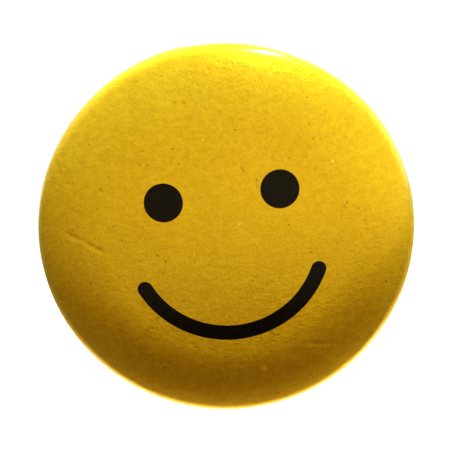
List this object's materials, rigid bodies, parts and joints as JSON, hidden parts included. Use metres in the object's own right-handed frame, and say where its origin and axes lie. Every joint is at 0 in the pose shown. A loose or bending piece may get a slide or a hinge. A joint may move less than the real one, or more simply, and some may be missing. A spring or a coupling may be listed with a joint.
{
  "type": "button badge",
  "caption": "Round domed pin-back button badge: printed face under clear film on a tin shell, stamped steel back plate and hinged wire pin.",
  "frame": {"origin": "centre of the flat ring on the badge's back, in the plane that lies against the cloth", "axes": "the badge stands upright as worn: -Y is the way the face looks, +Y is out of the back, +Z is the top of the print, +X is to the right seen from the front"},
  "size_m": [0.038, 0.0058, 0.038],
  "materials": {
    "film": "clear satin-gloss polyester film",
    "paper": "golden yellow print on coated paper",
    "ink": "solid black print",
    "shell_tinplate": "bare tinplate",
    "back_tinplate": "bright stamped tinplate",
    "spring_wire": "nickel-plated drawn spring wire"
  },
  "bodies": {
    "badge": {"clear_film": "film", "printed_paper": "paper", "printed_ink": "ink", "front_shell": "shell_tinplate", "back_plate": "back_tinplate", "pin_anchor": "spring_wire"},
    "needle": {"pin_needle": "spring_wire"}
  },
  "joints": [
    {"name": "pin_open", "type": "hinge", "parent": "badge", "child": "needle", "pos_m": [-0.0106, -0.00094, 0.0012], "axis": [0, -0.788, 0.6157], "range_deg": [0, 30]}
  ]
}
